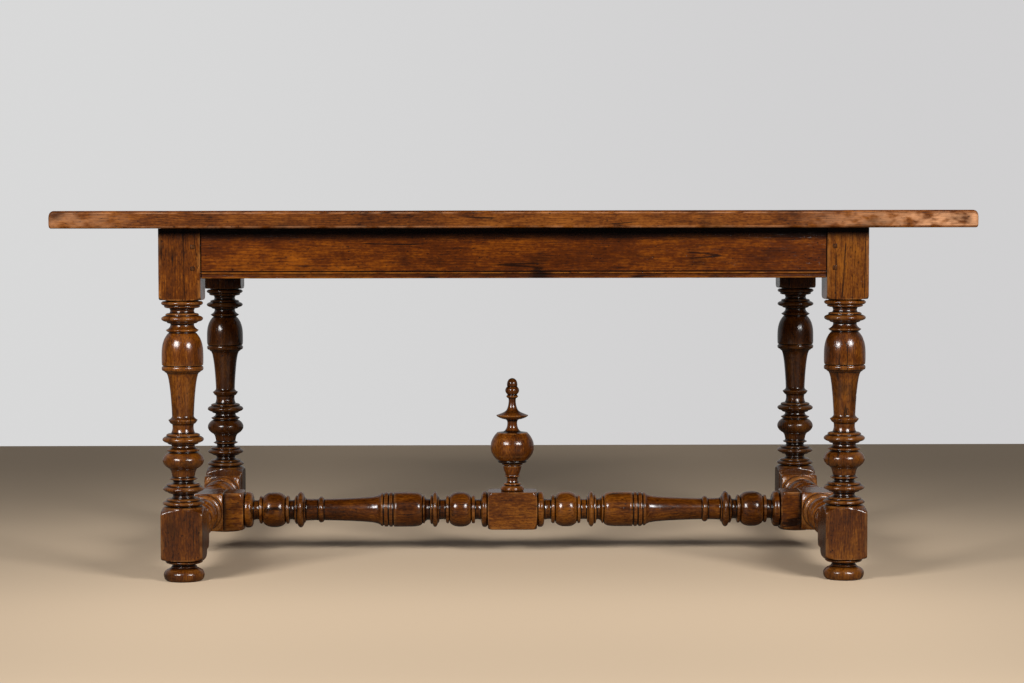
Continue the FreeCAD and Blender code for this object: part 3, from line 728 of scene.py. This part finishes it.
def lathe_tree():
    tree = open_tree("lathe", (
        ("Columns", "NodeSocketInt", 96),
        ("Block Side", "NodeSocketFloat", 0.086),
        ("Arris", "NodeSocketFloat", 40.0),
        ("Turn", "NodeSocketRotation", None),
        ("Place", "NodeSocketVector", None),
        ("Dent Depth", "NodeSocketFloat", 0.0005),
        ("Seed", "NodeSocketFloat", 1.0),
        ("Material", "NodeSocketMaterial", None),
    ))
    given = put(tree, "NodeGroupInput").outputs
    size = put(tree, "GeometryNodeAttributeDomainSize", {"Geometry": given["Geometry"]}, component="MESH")
    rows = size.outputs["Point Count"]
    last_row = reckon(tree, "SUBTRACT", rows, 1.0)
    columns = reckon(tree, "ADD", given["Columns"], 1.0)
    grid = put(tree, "GeometryNodeMeshGrid", {"Size X": given["Columns"], "Size Y": last_row,
               "Vertices X": columns, "Vertices Y": rows})
    position = put(tree, "GeometryNodeInputPosition").outputs[0]
    spot = put(tree, "ShaderNodeSeparateXYZ", {0: position})
    column = reckon(tree, "MULTIPLY_ADD", given["Columns"], 0.5, spot.outputs["X"])
    row = reckon(tree, "ROUND", reckon(tree, "MULTIPLY_ADD", last_row, 0.5, spot.outputs["Y"]))

    def along_outline(value, kind):
        plugs = {"Geometry": given["Geometry"], "Value": value, "Index": row}
        return put(tree, "GeometryNodeSampleIndex", plugs, data_type=kind, domain="POINT").outputs[0]

    def mark_along(label):
        named = put(tree, "GeometryNodeInputNamedAttribute", {"Name": label}, data_type="FLOAT").outputs[0]
        return along_outline(named, "FLOAT")

    mark = put(tree, "ShaderNodeSeparateXYZ", {0: along_outline(position, "FLOAT_VECTOR")})
    radius, height = mark.outputs["X"], mark.outputs["Z"]

    # four faces, each from -1 to 1, with the columns drawn towards the corners by a sine
    faces = reckon(tree, "DIVIDE", reckon(tree, "MULTIPLY", column, 4.0), given["Columns"])
    face = reckon(tree, "FLOOR", faces)
    across = reckon(tree, "MULTIPLY_ADD", reckon(tree, "FRACT", faces), 2.0, -1.0)
    drawn = reckon(tree, "SINE", reckon(tree, "MULTIPLY", across, math.pi / 2))
    angle = reckon(tree, "MULTIPLY_ADD", face, math.pi / 2, reckon(tree, "MULTIPLY", drawn, math.pi / 4))
    cosine, sine = reckon(tree, "COSINE", angle), reckon(tree, "SINE", angle)

    blank, half_side = square_reach(tree, given, cosine, sine)
    final = reckon(tree, "SMOOTH_MIN", radius, blank, arris_blend)
    final = reckon(tree, "MAXIMUM", reckon(tree, "MINIMUM", final, radius), 0.0)
    point = put(tree, "ShaderNodeCombineXYZ", {"X": reckon(tree, "MULTIPLY", final, cosine),
                "Y": reckon(tree, "MULTIPLY", final, sine), "Z": height}).outputs[0]
    arris = ease(tree, reckon(tree, "DIVIDE", final, half_side), 1.28, 1.37)
    worn = reckon(tree, "MAXIMUM", mark_along("worn"), arris)

    mesh = grid.outputs["Mesh"]
    for label, value in (("hollow", mark_along("hollow")), ("worn", worn)):
        mesh = then(tree, mesh, "StoreNamedAttribute", {"Name": label, "Value": value},
                    data_type="FLOAT", domain="POINT")
    mesh = then(tree, mesh, "SetPosition", {"Position": point})
    mesh = then(tree, mesh, "MergeByDistance", {"Distance": same_point})
    mesh = then(tree, mesh, "Transform", {"Translation": given["Place"], "Rotation": given["Turn"]})
    mesh = then(tree, dented(tree, mesh, given), "SetShadeSmooth")
    return close_tree(tree, mesh, given["Material"])


lathe = lathe_tree()
print("lathe tree:", len(lathe.nodes), "nodes")

# %% [markdown]
# ## Legs, stretchers and finial
# One tree makes all of them. A leg stands upright, a long stretcher is turned to lie along the
# table and a side stretcher across it. Each finished piece takes over from its node in the
# frame and rides with the table's only body.

# %% Turn each piece
always_round = 0.2  # a blank so wide that nothing of the finial is square
along_x, along_y = (0, math.pi / 2, 0), (-math.pi / 2, 0, 0)


def turned_piece(node, outline, side, place, material, turn=(0, 0, 0), seed=1.0, dent=0.0005,
                 painted_shadow_band=(0, 0)):
    """Lathes a piece that stands for one node of the frame."""
    values = {"Columns": 96, "Block Side": side, "Arris": 40.0, "Turn": turn, "Place": place,
              "Dent Depth": dent, "Seed": seed, "Material": material}
    marked = outline_mesh(node + "_outline", outline, dirt_shade_and_wear(outline, painted_shadow_band))
    piece = grow(node + "_turned", marked, lathe, values)
    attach(piece, "root")
    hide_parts(node)
    print(node, len(piece.data.vertices), "points")


for number, (name, axis) in enumerate(sorted(leg_axis.items())):
    timber = frame_oak_back if axis.y > 0 else frame_oak if axis.x < 0 else frame_oak_right
    turned_piece(name, leg_outline, leg_block_side, (axis.x, axis.y, 0.0), timber, seed=2.0 + 3.7 * number)
for number, (name, (low, high)) in enumerate(sorted(side_box.items())):
    turned_piece(name, side_outline, stretcher_side, tuple((low + high) / 2), frame_oak_cross, along_y,
                 21.0 + 5.0 * number)
turned_piece("stretcher_long", long_outline, stretcher_side, (0, 0, stretcher_height), frame_oak_long,
             along_x, 33.0)
# the band under the finial's ball gets a painted shadow
turned_piece("finial", finial_outline, always_round, (0, 0, 0), frame_oak_finial, seed=41.0, dent=0.0002,
             painted_shadow_band=(200.5, 206.7))

# %% [markdown]
# ## Boards and aprons
# A board is a section pulled along its length, with its long edges and its corners rounded by
# two centuries of sleeves. Rather than bevel a box, the section is worked out afresh at each
# station, so that the ends can draw in as a quarter circle and the seams can stay almost sharp.
# Afterwards the surface is pushed in a little here and there by a noise, never out, so that the
# finished board can't leave the size that the frame gives it.

# %% Pull a section along X
def pulled(name, sections, marks):
    """A closed mesh through rings of points; marks give hollow and worn for each point of a ring."""
    count = len(sections[0])
    points = [p for ring_points in sections for p in ring_points]
    faces = []
    for s in range(len(sections) - 1):
        for i in range(count):
            a, b = s * count + i, s * count + (i + 1) % count
            faces.append((a, a + count, b + count, b))
    faces.append(tuple(range(count)))
    faces.append(tuple(reversed(range((len(sections) - 1) * count, len(sections) * count))))
    mesh = bpy.data.meshes.new(name)
    mesh.from_pydata(points, [], faces)
    write_marks(mesh, [mark for ring_marks in marks for mark in ring_marks])
    outward = bmesh.new()
    outward.from_mesh(mesh)
    bmesh.ops.recalc_face_normals(outward, faces=outward.faces)
    outward.to_mesh(mesh)
    outward.free()
    mesh.shade_smooth()
    mesh.set_sharp_from_angle(angle=math.radians(50))
    mesh.update()
    return mesh

print("a section can be pulled")

# %% Age a piece and hang it on its node
def age(mesh, wave, dent, seed):
    """Pushes points in along their normals: long waves, and a few small dents."""
    away = Vector((seed, 2.3 * seed, -seed))
    moves = []
    for vertex in mesh.vertices:
        spot = vertex.co + away
        swell = max(0.5 + 0.5 * noise.noise(spot * 5.0), 0.0)
        knock = max(noise.noise(spot * 31.0) - 0.45, 0.0) / 0.3
        moves.append(vertex.co - vertex.normal * (wave * swell + dent * min(knock, 1.0)))
    mesh.vertices.foreach_set("co", [c for p in moves for c in p])
    mesh.update()


def finished(node, mesh, material, suffix):
    """Hangs a mesh on the table's body in place of its node of the frame, and hides the node."""
    mesh.materials.append(material)
    piece = placed(node + suffix, mesh)
    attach(piece, "root")
    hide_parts(node)
    print(node, len(mesh.vertices), "points")


def spaced(low, high, step, guard=0.0012):
    """Places between two ends, with one close to each end to hold the flat."""
    rows = max(1, round((high - low - 2 * guard) / step))
    return [low] + [low + guard + (high - low - 2 * guard) * i / rows for i in range(rows + 1)] + [high]

print("a metre in steps of a decimetre:", len(spaced(0.0, 1.0, 0.1)), "places")

# %% [markdown]
# ### The four boards of the top
# The outer boards carry the worn edge, the inner ones only seams. The photograph shows the
# front edge: rounded by about six millimetres above and four below, with round corners. Its
# face is made paler towards both ends, and more so at the right one.

# %% The section of a board
edge_above, edge_below, seam_ease = 6.5 * mm, 4.5 * mm, 0.8 * mm
end_above, end_below, end_corner = 12.0 * mm, 6.0 * mm, 9.0 * mm
rim = 20.0 * mm  # a board this near the edge of the top is an outer one
arc_steps = 6
seam_shade, end_wear, low_arris_wear, high_arris_wear = 0.85, 0.2, 0.3, 0.6


def quarter(inset, radius):
    """How far a rounded edge has drawn in at a distance from the end."""
    back = max(radius - inset, 0.0)
    return radius - math.sqrt(max(radius ** 2 - back ** 2, 0.0))


def paler_ends(x):
    """How much paler the front edge's face is made towards its ends, more at the right one."""
    return part_way((x - 0.55) / 0.30) + 0.38 * part_way((-x - 0.74) / 0.16)


def board_section(x, low, high, half_length):
    """One ring of points round a board at x, with hollow and worn marks."""
    inset = half_length - abs(x)
    outer_low, outer_high = low.y < cad_box[0].y + rim, high.y > cad_box[1].y - rim
    draw = quarter(inset, end_corner)
    y_low = low.y + (draw if outer_low else 0.0)
    y_high = high.y - (draw if outer_high else 0.0)
    z_low = low.z + quarter(inset, end_below)
    z_high = high.z - quarter(inset, end_above)
    end_mark = end_wear if inset < end_above else 0.0
    arcs = []
    for y, z, rounded, quarter_turns, outer in (
            (y_low, z_low, edge_below, 2, outer_low), (y_high, z_low, edge_below, 3, outer_high),
            (y_high, z_high, edge_above, 0, outer_high), (y_low, z_high, edge_above, 1, outer_low)):
        radius = rounded if outer else seam_ease
        centre_y = y + radius if y == y_low else y - radius
        centre_z = z + radius if z == z_low else z - radius
        turns = [math.pi / 2 * (quarter_turns + i / arc_steps) for i in range(arc_steps + 1)]
        arc = [(centre_y + radius * math.cos(a), centre_z + radius * math.sin(a)) for a in turns]
        arcs.append((arc, outer))
    ring_points, ring_marks = [], []
    for (arc, outer), (next_arc, _) in zip(arcs, arcs[1:] + arcs[:1]):
        for step, (y, z) in enumerate(arc):
            ring_points.append((x, y, z))
            upper = high_arris_wear if step == arc_steps - 1 else 0.0
            arris = low_arris_wear if z < (low.z + high.z) / 2 else upper
            ring_marks.append((0.0 if outer else seam_shade, max(arris if outer else 0.0, end_mark)))
        (y0, z0), (y1, z1) = arc[-1], next_arc[0]
        whole = high.z - low.z if abs(y1 - y0) < abs(z1 - z0) else high.y - low.y
        for share in (place / whole for place in spaced(0.0, whole, 0.016)[1:-1]):
            ring_points.append((x, y0 + (y1 - y0) * share, z0 + (z1 - z0) * share))
            front_face = outer_low and abs(y1 - y0) < 1e-6 and y0 < low.y + rim
            ring_marks.append((0.0, max(end_mark, paler_ends(x) if front_face else 0.0)))
    return ring_points, ring_marks

print("a board's section has", len(board_section(0.0, *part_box("top_board_1"), 0.9)[0]), "points")

# %% Lay the boards
board_names = sorted(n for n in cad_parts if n.startswith("top_board"))
piths = ((0.05, 0.19), (-0.14, 0.12), (0.17, 0.15), (-0.03, 0.23))
for number, name in enumerate(board_names):
    low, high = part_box(name)
    half_length = high.x
    end_run = [half_length - end_above * (1 - math.sin(math.pi / 2 * i / 9)) for i in range(10)]
    body_run = spaced(-half_length + end_above, half_length - end_above, 0.008)[1:-1]
    stations = [-x for x in reversed(end_run)] + body_run + end_run
    mesh = pulled(name, *zip(*(board_section(x, low, high, half_length) for x in stations)))
    age(mesh, 0.6 * mm, 0.9 * mm, 1.0 + 2.0 * number)
    top_oak = oak("top_oak_%d" % (number + 1), "X", top_tones, piths[number], rub=0.9, coat=0.12, figure=0.6,
                  run=30, coat_rough=0.5)
    finished(name, mesh, top_oak, "_worn")

# %% [markdown]
# ### The aprons
# An apron is one long moulding: a flat face, a cut quirk, a thin fillet, a hollow that catches
# shade and a small rounded foot. The outline is drawn once and pulled along the apron, and the
# aprons at the ends of the table use the same outline, pulled along Y.

# %% The section of an apron
quirk_rise = 15.0 * mm  # the cut above the moulding, from the apron's foot
fine_step, back_step, run_step = 0.008, 0.016, 0.010


def moulding_points(depth, foot, top):
    """Distance in from the face and height, from the top of the face down and round the back."""
    quirk = foot + quirk_rise
    cuts = ((0.0, 1.4), (0.3, 0.4), (2.6, -0.1), (2.6, -1.5), (0.6, -2.1), (0.35, -3.5), (0.6, -4.9),
            (1.5, -5.3))
    toe = ((1.4, 3.0), (0.9, 2.3), (0.9, 1.1), (1.8, 0.2), (3.0, 0.0))
    turns = [math.pi * (0.08 + 0.84 * i / 8) for i in range(9)]
    moulding = [(d * mm, quirk + z * mm) for d, z in cuts]
    moulding += [(1.2 * mm + 2.4 * mm * math.sin(a), foot + 6.3 * mm + 3.3 * mm * math.cos(a)) for a in turns]
    moulding += [(d * mm, foot + z * mm) for d, z in toe]
    face_run = [(0.0, z) for z in reversed(spaced(quirk + cuts[0][1] * mm, top, fine_step)[1:])]
    under = [(d, foot) for d in spaced(toe[-1][0] * mm, depth - 1.0 * mm, fine_step)[1:]]
    back = [(depth, z) for z in spaced(foot + 1.0 * mm, top, back_step)]
    over = [(d, top) for d in reversed(spaced(0.0, depth, fine_step)[1:-1])]
    return face_run + moulding + under + back + over


def moulding_mark(d, z, foot):
    """Hollow and worn at a point: painted shade in the quirk and the small hollow, a painted shadow under the
    top, and fillets paler from wear and as a painted highlight.
    """
    quirk = foot + quirk_rise
    in_quirk = d > 2.0 * mm and quirk - 2.0 * mm < z < quirk
    in_hollow = 1.2 * mm < d < 5.0 * mm and foot + 3.4 * mm < z < quirk - 2.5 * mm
    # fillets are paler: wear, and a painted highlight where they face the light
    fillet_wear_and_sheen = z < quirk - 2.2 * mm and d < 1.4 * mm
    dark = max(1.0 if in_quirk else 0.0, 0.35 if in_hollow else 0.0, painted_overhang_shadow(z / mm, 26.0, 10.0))
    return dark, 1.0 if fillet_wear_and_sheen else 0.0

print("a moulding has", len(moulding_points(0.03, 0.62, 0.72)), "points")

# %% Pull the mouldings
joint, joint_depth = 2.0 * mm, 2.2 * mm  # the dark line where an apron meets its leg


def apron_mesh(name, run_axis, face_sign):
    """The apron between its legs. The face points to face_sign along the other axis."""
    low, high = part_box(name)
    face = low[1 - run_axis] if face_sign < 0 else high[1 - run_axis]
    depth = high[1 - run_axis] - low[1 - run_axis]
    section = moulding_points(depth, low.z, high.z)
    plain_marks = [moulding_mark(d, z, low.z) for d, z in section]
    reach = abs(leg_axis["leg_front_left"][run_axis]) - leg_block_side / 2
    wall = reach - joint + 0.1 * mm
    sections, marks = [], []
    for run in [-reach, -wall] + spaced(-reach + joint, reach - joint, run_step, 0.0008) + [wall, reach]:
        ring_points = []
        in_joint = reach - abs(run) < joint - 0.05 * mm
        marks.append([(1.0, 0.0)] * len(section) if in_joint else plain_marks)
        for d, z in section:
            if in_joint:
                d = min(max(d, joint_depth), depth - joint_depth)
                z = min(max(z, low.z + joint_depth), high.z - joint_depth)
            out = face - face_sign * d
            ring_points.append((run, out, z) if run_axis == 0 else (out, run, z))
        sections.append(ring_points)
    return pulled(name, sections, marks)


for name, run_axis, face_sign, pith in (
        ("apron_front", 0, -1, (0.07, 0.16)), ("apron_back", 0, 1, (0.11, -0.14)),
        ("apron_left", 1, -1, (0.09, 0.12)), ("apron_right", 1, 1, (-0.13, 0.10))):
    mesh = apron_mesh(name, run_axis, face_sign)
    age(mesh, 0.35 * mm, 0.5 * mm, 11.0 + pith[1] * 40)
    apron_oak = oak(name + "_oak", "XY"[run_axis], apron_tones, pith, figure=0.42, run=26)
    finished(name, mesh, apron_oak, "_moulded")

# %% [markdown]
# ## Pegs
# No screw holds this table: a riven peg is driven through each tenon, a little proud of the
# face. All pegs of a kind share one pattern, a square length with a domed head, so a small tree
# copies it to every hole, points it the way it was driven, and gives it a twist of its own.

# %% The peg tree
def peg_tree():
    tree = open_tree("pegs", (
        ("Pattern", "NodeSocketObject", None),
        ("Twist", "NodeSocketFloat", 0.3),
        ("Seed", "NodeSocketInt", 3),
        ("Material", "NodeSocketMaterial", None),
    ))
    given = put(tree, "NodeGroupInput").outputs
    drive = put(tree, "GeometryNodeInputNamedAttribute", {"Name": "head"},
                data_type="FLOAT_VECTOR").outputs[0]
    aim = put(tree, "FunctionNodeAlignRotationToVector", {"Vector": drive}, axis="Z").outputs[0]
    least = reckon(tree, "MULTIPLY", given["Twist"], -1.0)
    twist = put(tree, "FunctionNodeRandomValue", {"Min": least, "Max": given["Twist"], "Seed": given["Seed"]},
                data_type="FLOAT")
    turn = next(s for s in twist.outputs if s.enabled)
    spin = put(tree, "FunctionNodeAxisAngleToRotation", {"Axis": (0, 0, 1), "Angle": turn}).outputs[0]
    both = put(tree, "FunctionNodeRotateRotation", {"Rotation": aim, "Rotate By": spin},
               rotation_space="LOCAL").outputs[0]
    pattern = put(tree, "GeometryNodeObjectInfo", {"Object": given["Pattern"]}).outputs["Geometry"]
    pegs = put(tree, "GeometryNodeInstanceOnPoints", {"Points": given["Geometry"], "Instance": pattern,
               "Rotation": both}).outputs[0]
    return close_tree(tree, pegs, given["Material"])


pegs_by_tree = peg_tree()
print("peg tree:", len(pegs_by_tree.nodes), "nodes")

# %% Drive a set of pegs
peg_roundness = 1.30  # a peg's radius over half its side: less than a square's 1.41
head_outline = ((-1.2, 1.0), (-0.55, 0.97), (-0.3, 0.9), (-0.12, 0.78), (-0.05, 0.5), (0.0, 0.0))
head_marks = [(0.0, 0.0), (1.0, 0.0), (1.0, 0.0), (1.0, 0.0), (0.9, 0.0), (0.35, 0.0), (0.1, 0.4), (0.0, 0.6)]


def drive_pegs(node, heads, side, length, seed):
    """Pegs whose heads are at the given points, each (head, direction that the head faces)."""
    radius = side / 2 * peg_roundness
    outline = [(-length, 0.0), (-length, radius)] + [(place, part * radius) for place, part in head_outline]
    values = {"Columns": 24, "Block Side": side * mm, "Arris": 12.0, "Place": (0, 0, 0), "Dent Depth": 0.0,
              "Seed": 1.0, "Material": peg_oak}
    pattern = grow(node + "_pattern", outline_mesh(node + "_peg", outline, head_marks), lathe, values)
    mesh = bpy.data.meshes.new(node)
    mesh.from_pydata([head for head, _ in heads], [], [])
    facing = mesh.attributes.new("head", "FLOAT_VECTOR", "POINT")
    facing.data.foreach_set("vector", [c for _, way in heads for c in way])
    values = {"Pattern": pattern, "Twist": 0.25, "Seed": seed, "Material": peg_oak}
    piece = grow(node + "_driven", mesh, pegs_by_tree, values)
    bpy.data.objects.remove(pattern)
    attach(piece, "root")
    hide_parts(node)
    print(node + ":", len(heads), "pegs")

# %% Pegs of the aprons
half_leg = leg_block_side / 2
leg_x, leg_y = leg_axis["leg_back_right"].x, leg_axis["leg_back_right"].y
outer_x, outer_y = leg_x + half_leg, leg_y + half_leg
peg_stands_out, peg_from_arris = 0.6 * mm, 16.0 * mm
peg_x, peg_y = (leg - (half_leg - peg_from_arris) for leg in (leg_x, leg_y))
corners = [(sx, sy) for sx in (-1, 1) for sy in (-1, 1)]
apron_heads = []
for sx, sy in corners:
    for height in (686.8 * mm, 642.5 * mm):
        apron_heads.append(((sx * peg_x, sy * (outer_y + peg_stands_out), height), (0, sy, 0)))
        apron_heads.append(((sx * (outer_x + peg_stands_out), sy * peg_y, height), (sx, 0, 0)))
drive_pegs("apron_pegs", apron_heads, 9.0, 36.0, 5)

# %% Pegs of the stretchers and the top
tenon_middle, long_reach = 22.5 * mm, 638.5 * mm
cross_peg_y = leg_y - half_leg + tenon_middle
stretcher_heads = [((sx * outer_x, sy * cross_peg_y, stretcher_height), (sx, 0, 0)) for sx, sy in corners]
long_peg_x, stretcher_foot = long_reach + tenon_middle, stretcher_height - stretcher_side / 2
stretcher_heads += [((sx * long_peg_x, 0.0, stretcher_foot), (0, 0, -1)) for sx in (-1, 1)]
drive_pegs("stretcher_pegs", stretcher_heads, 9.0, 62.0, 7)

rail_x = sum(corner.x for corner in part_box("cross_rail_right")) / 2
board_middles = [sum(corner.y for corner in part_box(name)) / 2 for name in board_names]
top_heads = [((sx * rail_x, middle, table_height), (0, 0, 1)) for middle in board_middles for sx in (-1, 1)]
top_heads += [((sx * leg_x, sy * leg_y, table_height), (0, 0, 1)) for sx, sy in corners]
drive_pegs("top_pegs", top_heads, 10.0, 64.0, 9)

# %% [markdown]
# ## Pieces that keep their own shape
# The cross rails and the loose tongues are hidden joiner's work. Their shapes in the frame are
# right, so they only get timber: bare oak that never met wax.

# %% Dress the hidden pieces
for name in ("cross_rail_left", "cross_rail_right", "top_tongues"):
    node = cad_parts[name]
    node.data.materials.clear()
    node.data.materials.append(bare_oak)
    print(name, "has", node.data.materials[0].name)

# %% [markdown]
# ## Studio
# The photograph was lit by two soft boxes in front, one to each side and a little above, as the
# paired highlights on every ball show. The floor is plain and pale, and the wall behind is only
# the colour that the camera and the polish see, so that nothing hides the table from behind. The
# floor's colour carries painted shade, darker in front and to the sides as the light falls off,
# and it throws little light back.

# %% The floor
floor_colour, painted_floor_falloff, floor_thrown_share = (0.74, 0.56, 0.38), 0.74, 0.22
floor_left, floor_right, floor_front, floor_back = -7.0, 7.0, -9.0, 2.57


def plain_floor():
    material = bpy.data.materials.new("pale_floor")
    material.use_nodes = True
    tree = material.node_tree
    shader = tree.nodes["Principled BSDF"]
    spot = put(tree, "ShaderNodeSeparateXYZ", {0: put(tree, "ShaderNodeTexCoord").outputs["Object"]}).outputs
    # painted shade: the floor's colour falls off in front and to the sides
    nearer = ease(tree, spot["Y"], -1.5, -0.6, painted_floor_falloff, 1.0)
    painted_side_falloff = ease(tree, reckon(tree, "ABSOLUTE", spot["X"]), 0.5, 1.4, 1.0, painted_floor_falloff)
    from_camera = put(tree, "ShaderNodeLightPath").outputs["Is Camera Ray"]
    seen = ease(tree, from_camera, 0.0, 1.0, floor_thrown_share, 1.0)
    kept = reckon(tree, "MULTIPLY", reckon(tree, "MULTIPLY", nearer, painted_side_falloff), seen)
    tree.links.new(steer(tree, "SCALE", floor_colour, Scale=kept), shader.inputs["Base Color"])
    shader.inputs["Roughness"].default_value = 0.75
    seen_from_below = put(tree, "ShaderNodeNewGeometry").outputs["Backfacing"]
    clear = put(tree, "ShaderNodeBsdfTransparent").outputs[0]
    mix = put(tree, "ShaderNodeMixShader", {0: seen_from_below, 1: shader.outputs[0], 2: clear})
    tree.links.new(mix.outputs[0], tree.nodes["Material Output"].inputs["Surface"])
    mesh = bpy.data.meshes.new("floor")
    corners = [(x, y, 0) for x, y in ((floor_left, floor_front), (floor_right, floor_front),
                                      (floor_right, floor_back), (floor_left, floor_back))]
    mesh.from_pydata(corners, [], [(0, 1, 2, 3)])
    mesh.materials.append(material)
    floor = placed("floor", mesh)


plain_floor()
print("floor:", floor_right - floor_left, "by", round(floor_back - floor_front, 2), "metres")

# %% [markdown]
# ### The room's own light
# Three kinds of rays ask the room for its colour. The camera sees a pale wall. Polish sees a soft
# band behind and above, which gives the turnings their thin bright rims. Dull wood gets a low
# soft light from behind, so that the back of the table isn't black.

# %% The wall and the room
wall_left, wall_right = (0.69, 0.69, 0.69), (0.635, 0.63, 0.635)


def room_light():
    world = bpy.data.worlds.new("studio")
    bpy.context.scene.world = world
    world.use_nodes = True
    tree = world.node_tree
    direction = put(tree, "ShaderNodeTexCoord").outputs["Generated"]
    way = put(tree, "ShaderNodeSeparateXYZ", {0: direction}).outputs
    rays = put(tree, "ShaderNodeLightPath").outputs
    behind, above = ease(tree, way["Y"], -0.1, 0.5), ease(tree, way["Z"], 0.35, 0.95)
    polish_sees = reckon(tree, "MAXIMUM", reckon(tree, "MULTIPLY_ADD", behind, 0.26, 0.02),
                         reckon(tree, "MULTIPLY", above, 0.18))
    low_down = reckon(tree, "MULTIPLY", ease(tree, way["Z"], 0.2, 0.5, 0.65, 0.0), behind)
    dull_sees = reckon(tree, "MAXIMUM", low_down, reckon(tree, "MULTIPLY_ADD", above, 0.05, 0.006))
    bright = put(tree, "ShaderNodeMix", {0: rays["Is Diffuse Ray"], 2: polish_sees, 3: dull_sees},
                 data_type="FLOAT").outputs[0]
    room = put(tree, "ShaderNodeCombineColor", {0: bright, 1: bright, 2: bright}).outputs[0]
    wall = mixed(tree, wall_left, wall_right, ease(tree, way["X"], -0.2, 0.2))
    both = mixed(tree, room, wall, rays["Is Camera Ray"])
    tree.links.new(both, tree.nodes["Background"].inputs["Color"])


room_light()
print("room:", len(bpy.context.scene.world.node_tree.nodes), "nodes")

# %% The two soft boxes
box_elevation, box_distance, box_width, box_height, box_power = 22, 4.2, 1.30, 1.10, 134
lit_point = Vector((0.0, 0.0, 0.4))


def soft_box(name, azimuth):
    """An area light that looks at the middle of the table."""
    light = bpy.data.lights.new(name, "AREA")
    light.shape, light.size, light.size_y, light.energy = "RECTANGLE", box_width, box_height, box_power
    lamp = placed(name, light)
    a, e = math.radians(azimuth), math.radians(box_elevation)
    away = Vector((math.sin(a) * math.cos(e), -math.cos(a) * math.cos(e), math.sin(e)))
    lamp.location = lit_point + away * box_distance
    lamp.rotation_euler = (-away).to_track_quat("-Z", "Y").to_euler()
    lamp.visible_camera = False
    print(name, "stands at", [round(v, 2) for v in lamp.location])


soft_box("soft_box_left", -36)
soft_box("soft_box_right", 34)

# %% [markdown]
# ## The camera
# A camera was fitted to the corners of the legs and the top in the photograph: a long lens a
# little left of the middle, just below the table's height, looking down by three degrees.

# %% Stand the camera
focal_in_pixels, picture_width, sensor = 2439.9, 1024.0, 36.0
camera_place = (-0.0519, -5.4066, 0.7455)
yaw, pitch, roll = (math.radians(v) for v in (-0.547, 2.9105, -0.0813))
camera_data = bpy.data.cameras.new("camera")
camera_data.sensor_fit, camera_data.sensor_width = "HORIZONTAL", sensor
camera_data.lens = focal_in_pixels * sensor / picture_width
camera_data.clip_end = 100.0
camera = placed("camera", camera_data)
forward = Vector((-math.sin(yaw) * math.cos(pitch), math.cos(yaw) * math.cos(pitch), -math.sin(pitch)))
right = Vector((math.cos(yaw), math.sin(yaw), 0.0))
up = right.cross(forward)
right, up = math.cos(roll) * right + math.sin(roll) * up, math.cos(roll) * up - math.sin(roll) * right
turned = Matrix((right, up, -forward)).transposed().to_4x4()
camera.matrix_world = Matrix.Translation(camera_place) @ turned
bpy.context.scene.camera = camera
bpy.context.scene.view_settings.view_transform = "Standard"
print("lens", round(camera_data.lens, 2), "mm")
